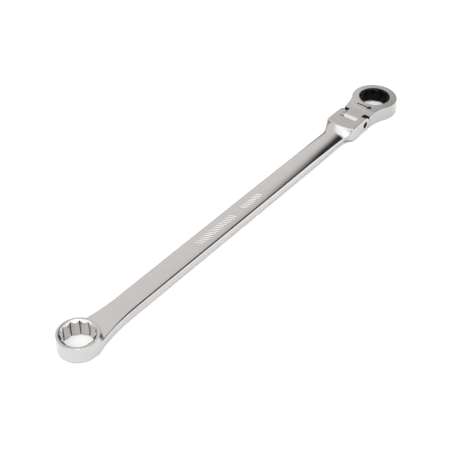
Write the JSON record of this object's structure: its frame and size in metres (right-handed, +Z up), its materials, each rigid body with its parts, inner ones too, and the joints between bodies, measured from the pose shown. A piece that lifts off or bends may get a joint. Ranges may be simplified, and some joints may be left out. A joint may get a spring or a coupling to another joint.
{
  "type": "ratchet wrench",
  "caption": "Long double box-end wrench: a fixed 12-point ring at one end of a flat shank, and a flexing ratchet head with a 12-point gear at the other.",
  "frame": {"origin": "middle of the footprint, on the plane that the wrench lies on", "axes": "+X along the shank towards the ratchet head, +Y across the shank, +Z up along both openings"},
  "size_m": [0.4118, 0.0396, 0.014],
  "materials": {
    "chromed_steel": "satin chrome plate on forged steel, ground bright on the sides",
    "black_oxide": "oiled black oxide on hardened steel",
    "spring_steel": "bare spring steel, lightly oiled",
    "bronze": "sintered bronze, satin"
  },
  "bodies": {
    "handle": {"handle_forging": "chromed_steel", "hinge_screw": "black_oxide", "friction_washer_near": "spring_steel", "friction_washer_far": "spring_steel"},
    "head": {"head_housing": "chromed_steel", "hinge_bush": "bronze", "thrust_washer": "spring_steel", "retaining_ring": "spring_steel", "pawl_spring_upper": "spring_steel", "pawl_spring_lower": "spring_steel"},
    "gear": {"ratchet_gear": "black_oxide"},
    "pawl": {"pawl": "black_oxide"}
  },
  "joints": [
    {"name": "head_flex", "type": "hinge", "parent": "handle", "child": "head", "pos_m": [0.15125, 0, 0.00665], "axis": [0, -1, 0], "range_deg": [-90, 90]},
    {"name": "gear_spin", "type": "hinge", "parent": "head", "child": "gear", "pos_m": [0.18605, 0, 0.00665], "axis": [0, 0, 1], "continuous": true},
    {"name": "pawl_slide", "type": "slide", "parent": "head", "child": "pawl", "axis": [-1, 0, 0], "range_m": [0, 0.0009], "stiffness_N_per_m": 1200, "springref_m": -0.0015, "deforming": ["pawl_spring_upper", "pawl_spring_lower"]}
  ]
}
